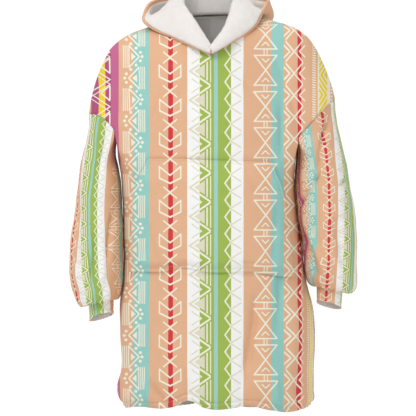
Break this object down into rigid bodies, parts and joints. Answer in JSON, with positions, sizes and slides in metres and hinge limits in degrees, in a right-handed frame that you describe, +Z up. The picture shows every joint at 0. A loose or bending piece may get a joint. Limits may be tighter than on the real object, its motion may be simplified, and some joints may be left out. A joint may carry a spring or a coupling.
{
  "type": "wearable blanket hoodie",
  "caption": "Oversized wearable blanket hoodie held open as worn, with its pile-lined hood turned down, a wide front pouch pocket, drop-shoulder sleeves and short cuffs.",
  "frame": {"origin": "between the shoulders at the foot of the neck, where the wearer's neck and shoulders carry the garment", "axes": "+Z up, the front faces -Y, +X towards the picture's right"},
  "size_m": [0.6452, 0.398, 0.9709],
  "materials": {
    "body": "matte printed flannel, brushed",
    "sleeve": "matte printed flannel, brushed",
    "cuff": "matte printed flannel, brushed",
    "pocket": "matte printed flannel, brushed",
    "hood": "matte printed flannel, brushed",
    "hood_lining": "matte cream pile"
  },
  "bodies": {
    "root": {"body_front": "body", "body_back": "body", "sleeve_left": "sleeve", "sleeve_right": "sleeve", "cuff_left": "cuff", "cuff_right": "cuff", "pocket": "pocket", "hood_left": "hood", "hood_right": "hood", "hood_lining_left": "hood_lining", "hood_lining_right": "hood_lining"}
  },
  "joints": []
}
